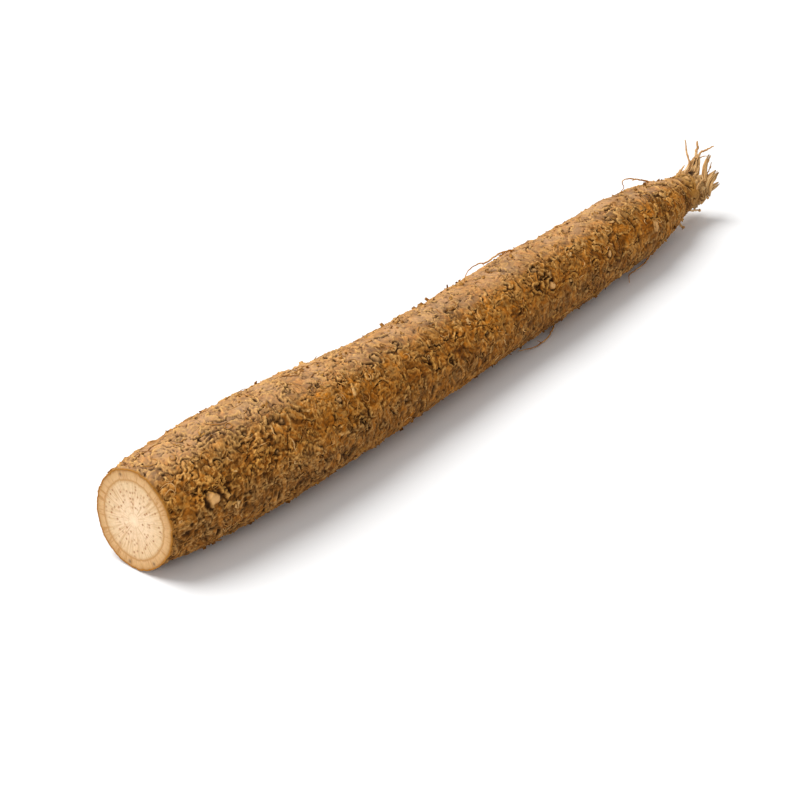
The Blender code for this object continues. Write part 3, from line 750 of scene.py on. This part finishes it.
def repeated(name, template, spots, turns, tones):
    # many copies of one small mesh: spots are places, turns are 3 x 3 matrices that also scale
    count, copies = len(template.vertices), len(spots)
    sides = np.empty(len(template.loops), int)
    template.loops.foreach_get("vertex_index", sides)
    starts = np.empty(len(template.polygons), int)
    template.polygons.foreach_get("loop_start", starts)
    places = keepIn(np.einsum("kij,vj->kvi", turns, placesOf(template)) + spots[:, None])
    each = np.arange(copies)[:, None]
    mesh = bpy.data.meshes.new(name)
    mesh.vertices.add(copies * count)
    mesh.vertices.foreach_set("co", places.reshape(-1).astype(np.float32))
    mesh.loops.add(copies * len(sides))
    mesh.loops.foreach_set("vertex_index", (sides[None] + each * count).reshape(-1))
    mesh.polygons.add(copies * len(starts))
    mesh.polygons.foreach_set("loop_start", (starts[None] + each * len(sides)).reshape(-1))
    mesh.update(calc_edges=True)
    mesh.validate()
    layer = mesh.attributes.new("tone", "FLOAT", "POINT")
    layer.data.foreach_set("value", tones.repeat(count).astype(np.float32))
    return mesh


def chipTemplate(curl, seed):
    # a thin flake, anchored at one end and curled up at the other, ragged all round
    bm = bmesh.new()
    bmesh.ops.create_grid(bm, x_segments=4, y_segments=2, size=0.5)
    for vert in bm.verts:
        x, y = vert.co.x + 0.5, vert.co.y
        ragged = 1 + 0.35 * noise.noise(Vector((x * 3, y * 3, seed)))
        narrow = 1.15 - 0.8 * (x - 0.45) ** 2
        vert.co = Vector(((x - 0.4) * ragged, y * narrow * ragged, curl * (x ** 2.2) - 0.10 + 0.10 * y * y))
    bmesh.ops.solidify(bm, geom=bm.faces[:], thickness=0.07)
    bmesh.ops.recalc_face_normals(bm, faces=bm.faces)
    mesh = bpy.data.meshes.new("chipTemplate")
    bm.to_mesh(mesh)
    bm.free()
    return mesh


looseChips = {
    "count": 3300,
    "length": (1.0, 2.9),          # mm
    "breadth": (0.26, 0.60),       # share of the length
    "lift": (-0.05, 0.10),         # of the anchored end over the skin, mm
    "curls": (0.08, 0.22, 0.38),   # how far the free end stands up, as a share of the length
    "scales": (1.2, 0.8, 0.8),     # size of each kind: the flattest are the largest
}


def frameOn(row, column, spin):
    # the skin's own axes at grid places: a way in the surface, the way across it, and outwards
    outward = shownNormals[row, column]
    ahead = skinPoints[np.minimum(row + 3, len(skinPoints) - 1), column] - skinPoints[row, column]
    ahead -= outward * np.sum(ahead * outward, -1, keepdims=True)
    ahead /= np.linalg.norm(ahead, axis=-1, keepdims=True)
    across = np.cross(outward, ahead)
    c, s = np.cos(spin)[:, None], np.sin(spin)[:, None]
    return ahead * c + across * s, across * c - ahead * s, outward


chipTones = [(0.0, "6A4016"), (0.35, "946023"), (0.7, "BA8640"), (1.0, "DDAE70")]
chipPaint = tintedBark("barkChips", chipTones, 0.8, patchy=False)
perKind = looseChips["count"] // len(looseChips["curls"])
for kind, (curl, scale) in enumerate(zip(looseChips["curls"], looseChips["scales"])):
    rows = randomDraw.integers(12, len(skinPoints) - 40, perKind)
    columns = randomDraw.integers(0, skinPoints.shape[1], perKind)
    crowd = noiseAt(skinPoints[rows, columns] / mm, 7.0, 60)
    keep = crowd + randomDraw.normal(0, 0.25, perKind) > -0.12
    rows, columns = rows[keep], columns[keep]
    spin = randomDraw.uniform(0, math.tau, len(rows))
    length = randomDraw.uniform(*looseChips["length"], len(rows))[:, None] * scale
    first, second, third = frameOn(rows, columns, spin)
    wide = length * randomDraw.uniform(*looseChips["breadth"], len(rows))[:, None]
    turns = np.stack([first * length, second * wide, third * length], -1) * mm
    lift = randomDraw.uniform(*looseChips["lift"], len(rows))
    spots = skinPoints[rows, columns] + third * (lift * mm)[:, None]
    # chips paler where the skin carries painted highlights, and painted darker on the root's lower half
    tones = 0.5 * colourMaps["edge"][rows, columns] + randomDraw.uniform(0, 0.75, len(rows))
    tones = np.clip(tones - 0.2 * (np.sin(skinTurns[0, columns]) < 0), 0, 1)
    name = f"looseChips{kind + 1}"
    mesh = repeated(name, chipTemplate(curl, kind * 3.1), spots, turns, tones)
    pieceFrom(name, mesh, chipPaint, "root_skin")


def tubesMesh(name, runs, roundness=1):
    # thin closed tubes, one for each run of points and radii, swept by a curve's bevel
    curve = bpy.data.curves.new(name, "CURVE")
    curve.dimensions = "3D"
    curve.bevel_depth = 1.0
    curve.bevel_resolution = roundness
    curve.use_fill_caps = True
    curve.twist_mode = "MINIMUM"
    for points, radii in runs:
        spline = curve.splines.new("POLY")
        spline.points.add(len(points) - 1)
        spline.points.foreach_set("co", np.concatenate([points, np.ones((len(points), 1))], 1).reshape(-1))
        spline.points.foreach_set("radius", np.asarray(radii, float))
    obj = addObject(name, curve)
    bpy.context.view_layer.update()
    mesh = bpy.data.meshes.new_from_object(obj.evaluated_get(bpy.context.evaluated_depsgraph_get()))
    bpy.data.objects.remove(obj)
    bpy.data.curves.remove(curve)
    bm = bmesh.new()
    bm.from_mesh(mesh)
    bmesh.ops.remove_doubles(bm, verts=bm.verts, dist=1e-7)
    bmesh.ops.recalc_face_normals(bm, faces=bm.faces)
    bm.to_mesh(mesh)
    bm.free()
    mesh.vertices.foreach_set("co", keepIn(placesOf(mesh)).reshape(-1))
    mesh.name = name
    return mesh


def fineRoute(points, count):
    # a smooth curve through the points, in even steps
    points = np.asarray(points)
    gaps = np.linalg.norm(np.diff(points, axis=0), axis=1)
    places = np.concatenate([[0], np.cumsum(gaps)])
    padded = np.concatenate([points[:1] * 2 - points[1:2], points, points[-1:] * 2 - points[-2:-1]])
    fine = []
    for where in np.linspace(0, places[-1] * 0.99999, count):
        k = np.searchsorted(places, where, side="right") - 1
        t = (where - places[k]) / (places[k + 1] - places[k])
        a, b, c, d = padded[k:k + 4]
        curved = (2 * a - 5 * b + 4 * c - d) * t * t + (3 * b - a - 3 * c + d) * t ** 3
        fine.append(0.5 * (2 * b + (c - a) * t + curved))
    return np.array(fine)


skinThreads = {
    "count": 420,
    "length": (3.0, 11.0),   # mm
    "radius": (0.09, 0.20),  # mm
    "lift": (0.02, 0.35),    # how high a thread arches over the skin, mm
    "steps": 22,
    "nearCut": (0.35, 330),  # the share that starts near the cut, and the last row that counts as near
}
smoothSkin = skinPoints.copy()
for _ in range(3):
    smoothSkin = (smoothSkin + np.roll(smoothSkin, 1, 1) + np.roll(smoothSkin, -1, 1)) / 3


def buildSkinThreads():
    runs = []
    rows, columns = skinPoints.shape[:2]
    rowStep = np.linalg.norm(skinPoints[500, 0] - skinPoints[499, 0]) / mm
    nearShare, lastNear = skinThreads["nearCut"]
    steps = skinThreads["steps"]
    for _ in range(skinThreads["count"]):
        row = randomDraw.uniform(10, rows - 60)
        if randomDraw.random() < nearShare:
            row = randomDraw.uniform(10, lastNear)
        column = randomDraw.uniform(0, columns)
        stride = randomDraw.uniform(*skinThreads["length"]) / steps
        heading = randomDraw.uniform(0, math.tau)
        bend = randomDraw.normal(0, 0.16)
        lift = randomDraw.uniform(*skinThreads["lift"])
        route = []
        for k in range(steps):
            i = int(np.clip(row, 6, rows - 30))
            j = int(column) % columns
            arch = lift * math.sin(math.pi * k / (steps - 1)) + 0.06
            route.append(smoothSkin[i, j] + shownNormals[i, j] * (arch * mm))
            bend += randomDraw.normal(0, 0.06)
            heading += bend
            row += math.cos(heading) * stride / rowStep
            around = np.linalg.norm(skinPoints[i, (j + 1) % columns] - skinPoints[i, j]) / mm
            column += math.sin(heading) * stride / max(around, 0.1)
        route = np.array(route)
        for _ in range(2):
            route[1:-1] = (route[:-2] + route[1:-1] * 2 + route[2:]) / 4
        radius = randomDraw.uniform(*skinThreads["radius"]) * mm
        runs.append((route, radius * np.sin(np.linspace(0.25, math.pi - 0.15, steps)) ** 0.5))
    return tubesMesh("skinThreads", runs, 0)


threadPaint = tintedBark("barkThreads", [(0.3, "8A5624"), (0.5, "BA803A"), (0.7, "E4B87C")], 0.7)
pieceFrom("skinThreads", buildSkinThreads(), threadPaint, "root_skin")


def mergedCopy(node):
    bm = bmesh.new()
    bm.from_mesh(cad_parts[node].data)
    bmesh.ops.remove_doubles(bm, verts=bm.verts, dist=2e-6)
    return bm


def routeOf(node, step):
    # the middle line of a thin lofted piece: its vertices in bands by the way along its edges
    bm = mergedCopy(node)
    middle = sum((v.co for v in bm.verts), Vector()) / len(bm.verts)
    start = max(bm.verts, key=lambda v: (v.co - middle).length)
    for _ in range(2):
        reached = {start: 0.0}
        waiting = [start]
        while waiting:
            vert = min(waiting, key=reached.get)
            waiting.remove(vert)
            for edge in vert.link_edges:
                other = edge.other_vert(vert)
                total = reached[vert] + edge.calc_length()
                if total < reached.get(other, 1e9) - 1e-9:
                    reached[other] = total
                    waiting.append(other)
        start = max(reached, key=reached.get)
    order = sorted(reached.items(), key=lambda item: item[1])
    bands, band, opened = [], [], order[0][1]
    for vert, way in order:
        if way - opened > step and len(band) >= 4:
            bands.append(sum(band, Vector()) / len(band))
            band, opened = [], way
        band.append(vert.co.copy())
    bands.append(sum(band, Vector()) / len(band))
    bm.free()
    return np.array([tuple(p) for p in bands])


def towardsRoot(point, inside):
    # a point just under the bark below a given point
    centre = centreAt(np.array(np.clip(point[0], lineX[0], lineX[-1])))
    near = np.array(tapTree.find_nearest(Vector(point))[0])
    into = centre - near
    return near + into / np.linalg.norm(into) * inside


def skinGap(point):
    return (Vector(point) - tapTree.find_nearest(Vector(point))[0]).length


def wandering(points, amount, number, ends=6):
    # the same run with small bends, held at both ends
    share = np.linspace(0, 1, len(points))
    held = np.minimum(1, ends * share) * np.minimum(1, ends * (1 - share) + 0.3)
    moved = points.copy()
    for axis in range(3):
        wave = noiseAt(pointsFrom(share * 13 + axis * 7.7, number * 3.3, 1.5), 1.0)
        wave = wave + 0.5 * noiseAt(pointsFrom(share * 34 + axis * 5.1, number * 2.3, 4.5), 1.0)
        moved[:, axis] += wave * held * amount
    return moved


def knobby(count, number, often=55):
    return noiseAt(pointsFrom(np.linspace(0, 1, count) * often, number * 9.3, 0.5), 1.0)


rootletLooks = {
    "radius": 0.36,      # mm at the root, thinning to a share of it at the tip
    "tipShare": 0.35,
    "wobble": 0.22,      # how far it wanders from its run, mm
    "steps": 90,
    "twigs": (0.62, 0.4, 0.5, 0.7, 0.35, 0.6, 0.45),   # where each one's side twig stands on its run
    "twigLength": 1.6,   # mm
}


def buildRootlets(names):
    runs = []
    steps = rootletLooks["steps"]
    share = np.linspace(0, 1, steps)
    for number, (name, twigAt) in enumerate(zip(names, rootletLooks["twigs"])):
        route = routeOf(name, 1.3 * mm)
        if skinGap(route[0]) > skinGap(route[-1]):
            route = route[::-1]
        bothEnds = skinGap(route[-1]) < 0.9 * mm and number < 3
        route = np.concatenate([[towardsRoot(route[0], 0.8 * mm)], route])
        if bothEnds:
            route = np.concatenate([route, [towardsRoot(route[-1], 0.6 * mm)]])
        fine = wandering(fineRoute(route, steps), rootletLooks["wobble"] * mm, number)
        radii = rootletLooks["radius"] * mm * (1 - (1 - rootletLooks["tipShare"]) * share ** 1.4)
        radii = radii * (1 + 0.28 * knobby(steps, number))
        radii[0] *= 1.4
        fine[:, 2] = np.maximum(fine[:, 2], radii + 0.03 * mm)
        runs.append((fine, radii))
        # a short side twig part of the way along
        k = int(steps * twigAt)
        way = np.cross(fine[k + 1] - fine[k], (0, 0, 1))
        way = way / max(np.linalg.norm(way), 1e-9) * (1 if number % 2 else -1)
        way = way + np.array([0, 0, 0.3 if number > 2 else -0.55])
        twig = fine[k] + np.outer(np.linspace(0, 1, 7), way) * (rootletLooks["twigLength"] * mm)
        twig[:, 0] += np.sin(np.linspace(0, 4, 7)) * 0.2 * mm
        twig[:, 2] = np.maximum(twig[:, 2], 0.2 * mm)
        runs.append((twig, radii[k] * np.linspace(0.7, 0.35, 7)))
    return tubesMesh("rootlets", runs, 2)


rootletPaint = tintedBark("rootletFibre", [(0.3, "A86A2A"), (0.5, "CB8C42"), (0.7, "E6B574")], 0.6)
rootletNames = sorted(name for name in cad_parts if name.startswith("rootlet_"))
pieceFrom("rootlets", buildRootlets(rootletNames), rootletPaint, "rootlet_fibre", *rootletNames)

crownMiddle = np.array([crownX - 3.5 * mm, lineY[-1], lineZ[-1]])


def ringsOf(node, sides=8):
    # a stub's own rings, base first: middle, half-width vector, half-thickness vector
    bm = mergedCopy(node)
    points = np.array([tuple(v.co) for v in bm.verts])
    bm.free()
    away = np.linalg.norm(points - crownMiddle, axis=1)
    base = points[np.argsort(away)[:sides]].mean(0)
    tip = points[np.argsort(away)[-sides:]].mean(0)
    order = np.argsort((points - base) @ (tip - base))
    rings = []
    for k in range(0, len(order) - sides + 1, sides):
        ring = points[order[k:k + sides]]
        middle = ring.mean(0)
        _, size, axes = np.linalg.svd(ring - middle)
        broad, thin = (axes[n] * size[n] / math.sqrt(sides / 2) for n in (0, 1))
        rings.append((middle, broad, thin))
    for k in range(1, len(rings)):
        middle, broad, thin = rings[k]
        rings[k] = (middle, broad * np.sign(broad @ rings[k - 1][1]), thin * np.sign(thin @ rings[k - 1][2]))
    return rings


# each stub's width, flare at its base, how ragged its torn top is, how deep the fibres' grooves are,
# and its hollows (way up, turn, size)
stubLooks = {
    "stalk_husk": {"wide": 1.12, "torn": 0.26, "groove": 0.26,
                   "hollows": [(0.82, 60, 0.08), (0.70, 95, 0.08), (0.30, 75, 0.20), (0.5, 250, 0.12)]},
    "stalk_stub_tall": {"wide": 1.05, "torn": 0.20, "groove": 0.30, "hollows": [(0.86, 70, 0.08)]},
    "stalk_stub_broad": {"wide": 1.5, "flare": 0.15, "torn": 0.20, "groove": 0.30,
                         "hollows": [(0.42, 60, 0.16), (0.58, 110, 0.13), (0.35, 300, 0.14),
                                     (0.70, 40, 0.10)]},
    "stalk_stub_lower": {"wide": 1.75, "flare": 0.1, "torn": 0.12, "groove": 0.34,
                         "hollows": [(0.5, 80, 0.12), (0.7, 280, 0.12)]},
    "stalk_stub_under": {"wide": 0.95, "flare": 0.1, "torn": 0.35, "groove": 0.30, "hollows": []},
    "stalk_stub_back": {"torn": 0.35, "groove": 0.30, "hollows": [(0.5, 90, 0.12)]},
    "stalk_stub_back_low": {"torn": 0.35, "groove": 0.30, "hollows": []},
}
stubGrid = {"rows": 64, "inner": 22, "columns": 72, "rooted": 1.6}   # the last: mm inside the crown


def stubMesh(name, rings, looks, seed):
    # a torn stalk: up the outside, then down into its hollow top
    middles, broads, thins = (np.array(part) for part in zip(*rings))
    broads, thins = broads * looks.get("wide", 1.2), thins * looks.get("wide", 1.2)
    inwards = (crownMiddle - middles[0]) / np.linalg.norm(crownMiddle - middles[0])
    middles = np.concatenate([[middles[0] + inwards * stubGrid["rooted"] * mm], middles])
    broads = np.concatenate([broads[:1] * 1.1, broads])
    thins = np.concatenate([thins[:1] * 1.2, thins])
    columns, rows, inner = stubGrid["columns"], stubGrid["rows"], stubGrid["inner"]
    turn = np.linspace(0, math.tau, columns, endpoint=False)
    c, s = np.cos(turn), np.sin(turn)
    spikes = noiseAt(pointsFrom(c * 3.1, s * 3.1, seed), 1.0, 1)
    spikes = spikes + 0.7 * noiseAt(pointsFrom(c * 7.5, s * 7.5, seed), 1.0, 2)
    share = np.concatenate([np.linspace(0, 1, rows), np.linspace(1, 0.35, inner)])[:, None]
    inHollow = np.arange(rows + inner)[:, None] >= rows
    up = share * (1.0 - looks["torn"] * np.clip(0.42 - spikes, 0, 1))[None]
    place = np.clip(up * (len(middles) - 1), 0, len(middles) - 1.001)
    k, t = place.astype(int), (place - place.astype(int))[..., None]
    middle, broad, thin = (part[k] * (1 - t) + part[k + 1] * t for part in (middles, broads, thins))
    across = pointsFrom(c[None], s[None], up * 0.9 + seed)
    fibres = noiseAt(across * np.array([3.6, 3.6, 1.6]), 1.0, 3)
    fibres = fibres + 0.6 * noiseAt(across * np.array([9, 9, 3.0]), 1.0, 4)
    knots = noiseAt(across * np.array([1.6, 1.6, 6.0]), 1.0, 5)
    size = 1 + looks["groove"] * fibres + 0.16 * knots
    size *= 1 - 0.30 * smooth(0.75, 1.0, share)
    size *= 1 + looks.get("flare", 0.55) * (1 - smooth(0.0, 0.42, up))
    # dark: painted shade in the grooves between fibres, in each hollow and down inside the torn top; soil at
    # the base is added later
    dark = 0.75 * smooth(0.05, -0.45, fibres)
    for way, degrees, width in looks["hollows"]:
        dent = bell(up - way, width) * bell(turnFrom(turn[None], degrees), width * 4.5)
        size = size * (1 - 0.65 * dent)
        raiseTo(dark, np.clip(dent * 1.3, 0, 1))
    size = np.where(inHollow, size * (0.62 - 0.3 * (1 - share)), size)
    dark = np.where(inHollow, 0.55 + 0.4 * (1 - share), dark)
    points = middle + (broad * c[None, :, None] + thin * s[None, :, None]) * size[..., None]
    tone = 0.5 + 0.45 * fibres + 0.2 * smooth(0.5, 1.0, up)
    soil = 0.275 * (1 - smooth(0.05, 0.45, up))
    return tubeMesh(name + "Looks", points, {"tone": tone, "dark": np.maximum(dark, soil)})


stalk = dryStalk()
strandLooks = {"count": 9, "steps": 26, "wobble": 0.35, "radius": (0.10, 0.24)}   # on each stub; mm
strands = []
for number, (name, looks) in enumerate(stubLooks.items()):
    rings = ringsOf(name)
    finishPiece(stubMesh(name, rings, looks, 3.7 * number + 1), stalk, "dry_stalk", name)
    # loose strands that run up the stub and stray at its top
    steps = strandLooks["steps"]
    for strand in range(strandLooks["count"]):
        angle = randomDraw.uniform(0, math.tau)
        first = randomDraw.integers(0, 3)
        last = randomDraw.integers(len(rings) - 3, len(rings))
        run = [m + (b * math.cos(angle) + t * math.sin(angle)) * 0.98 for m, b, t in rings[first:last + 1]]
        if len(run) < 3:
            continue
        run = wandering(fineRoute(run, steps), strandLooks["wobble"] * mm, number * 11 + strand, 3)
        radius = randomDraw.uniform(*strandLooks["radius"]) * mm
        thinning = 1 - 0.6 * np.linspace(0, 1, steps) ** 3
        strands.append((run, radius * thinning * (1 + 0.3 * knobby(steps, strand + number * 5, 20))))

# the torn heart between the stubs: mm from the crown's middle, and half-sizes
heartRings = [((0.5, 0, 0.5), 5.6), ((3.0, -0.4, 1.6), 5.0), ((4.6, -0.9, 2.6), 4.0), ((6.0, -1.4, 3.6), 3.0),
              ((7.2, -1.9, 4.6), 2.0)]
heartLooks = {"torn": 0.5, "groove": 0.34, "flare": 0.0,
              "hollows": [(0.45, 80, 0.16), (0.5, 200, 0.15), (0.55, 320, 0.14)]}
heartWide, heartThick = np.array((-0.3, 0.95, 0)), np.array((-0.45, -0.1, 0.88))
rings = [(crownMiddle + np.array(place) * mm, heartWide * size * mm, heartThick * size * mm)
         for place, size in heartRings]
finishPiece(stubMesh("crownHeart", rings, heartLooks, 41.0), stalk, "dry_stalk")

# the prongs and fibres packed in the part, thin and uneven: radius in mm
fibreRadii = {
    "husk_prong_upright": 0.60, "husk_prong_leaning": 0.48, "crown_fibre_long": 0.44,
    "crown_fibre_short": 0.38, "crown_fibre_low": 0.46, "crown_fibre_back": 0.32, "crown_fibre_beaded": 0.30,
}
huskTop = ringsOf("stalk_husk")[-2][0]
steps = 40
share = np.linspace(0, 1, steps)
for number, (name, radius) in enumerate(fibreRadii.items()):
    route = routeOf(name, 0.9 * mm)
    if np.linalg.norm(route[0] - crownMiddle) > np.linalg.norm(route[-1] - crownMiddle):
        route = route[::-1]
    if "prong" in name:
        start = huskTop
    elif "beaded" in name:
        start = route[0] + (route[0] - route[1]) / np.linalg.norm(route[0] - route[1]) * 0.5 * mm
    else:
        start = towardsRoot(route[0], 0.5 * mm)
    fine = wandering(fineRoute(np.concatenate([[start], route]), steps), 0.22 * mm, 50 + number, 5)
    lumps = 1 + 0.30 * knobby(steps, number + 20, 30)
    if "beaded" in name:
        lumps = 1 + 0.9 * np.clip(np.sin(share * 24), 0, 1) ** 2
    knob = 0.9 * bell(share - 0.94, 0.05) if name == "crown_fibre_low" else 0
    strands.append((fine, radius * mm * (lumps * (1 - 0.45 * share ** 2) + knob)))

# small twigs and nubs: radius in mm, points in mm from the crown's middle, and whether it ends in a knob
crownTwigs = [
    (0.42, [(3.0, -5.2, -1.4), (3.8, -6.7, -2.0), (4.6, -7.8, -2.4), (5.4, -8.4, -2.7)], True),
    (0.26, [(8.2, -0.4, 11.2), (10.1, -1.3, 12.0), (10.8, -2.2, 12.2), (11.2, -2.8, 12.2)], False),
    (0.32, [(-4.0, -7.5, 3.9), (-2.4, -7.2, 5.4), (-0.4, -7.1, 5.9), (1.7, -6.8, 6.4), (3.4, -5.2, 7.6)],
     False),
    (0.22, [(0.5, -7.2, 0.6), (2.6, -6.6, 1.4), (5.0, -6.2, 2.4), (7.4, -6.0, 3.8)], False),
    (0.20, [(1.0, -2.5, 6.6), (2.2, -3.2, 7.4), (3.6, -2.4, 8.8), (5.0, -2.2, 9.6)], False),
    (0.45, [(-16.0, -7.4, -6.6), (-15.9, -8.6, -7.7), (-15.6, -9.4, -8.4)], True),
    (0.24, [(2.0, 4.6, 4.0), (3.4, 5.4, 5.2), (5.2, 5.6, 6.4)], False),
]
steps = 24
share = np.linspace(0, 1, steps)
for number, (radius, points, knobbed) in enumerate(crownTwigs):
    route = fineRoute(crownMiddle + np.array(points) * mm, steps)
    end = 1 + 0.8 * bell(share - 0.93, 0.08) if knobbed else 1 - 0.5 * share ** 2
    radii = radius * mm * (1 + 0.25 * knobby(steps, number + 40, 20)) * end
    strands.append((wandering(route, 0.15 * mm, 80 + number, 4), radii))
stalkFibre = tintedBark("stalkFibre", [(0.3, "B07C44"), (0.5, "D8A66A"), (0.7, "EECB98")], 0.65)
fibreNames = sorted(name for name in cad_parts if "prong" in name or "fibre" in name)
pieceFrom("crownFibres", tubesMesh("crownFibres", strands), stalkFibre, "dry_stalk", *fibreNames)

studio = {
    "lens": 76.5,
    "back": (-266.694, -305.566, 272.544),   # from the cut's centre to the camera, mm
    "azimuth": -51.82,
    "elevation": 30.3,
    "sunWay": (0.20, -0.50, -0.90),
    "sunPower": 2.5,
    "sunSpread": 42,           # degrees, for a soft shadow
    "cutLight": (-1.25, -0.15, 0.45),   # a panel that lights the cut face, metres
    "cutAim": (-0.1, 0, 0),
    "cutPower": 3.1,
    "roomLight": 0.50,
}

floorMesh = bpy.data.meshes.new("paleFloor")
bm = bmesh.new()
bmesh.ops.create_grid(bm, x_segments=1, y_segments=1, size=3)
bm.to_mesh(floorMesh)
bm.free()
floor = addObject("paleFloor", floorMesh)
# matt pale studio board
floorPaint = bpy.data.materials.new("paleFloorPaint")
floorPaint.use_nodes = True
floorPaint.node_tree.nodes["Principled BSDF"].inputs["Base Color"].default_value = fromHex("FAFAFA")
floorPaint.node_tree.nodes["Principled BSDF"].inputs["Roughness"].default_value = 0.9
floor.data.materials.append(floorPaint)

sun = bpy.data.lights.new("keyTop", "SUN")
sun.energy = studio["sunPower"]
sun.angle = math.radians(studio["sunSpread"])
addObject("keyTop", sun).rotation_euler = Vector(studio["sunWay"]).to_track_quat("-Z", "Y").to_euler()
panel = bpy.data.lights.new("sideCut", "AREA")
panel.shape = "RECTANGLE"
panel.size, panel.size_y = 0.4, 0.4
panel.energy = studio["cutPower"]
panelObject = addObject("sideCut", panel)
panelObject.location = studio["cutLight"]
panelWay = Vector(studio["cutAim"]) - Vector(studio["cutLight"])
panelObject.rotation_euler = panelWay.to_track_quat("-Z", "Y").to_euler()
world = bpy.data.worlds.new("studioRoom")
world.use_nodes = True
world.node_tree.nodes["Background"].inputs["Color"].default_value = fromHex("FFFFFF")
world.node_tree.nodes["Background"].inputs["Strength"].default_value = studio["roomLight"]
bpy.context.scene.world = world
bpy.context.scene.view_settings.view_transform = "Standard"

camera = bpy.data.cameras.new("studioCamera")
camera.lens = studio["lens"]
camera.sensor_width = 36
camera.clip_start = 0.01
cameraObject = addObject("studioCamera", camera)
cameraObject.location = cutCentre + Vector(studio["back"]) * mm
cameraObject.rotation_euler = (math.radians(90 - studio["elevation"]), 0, math.radians(studio["azimuth"]))
bpy.context.scene.camera = cameraObject
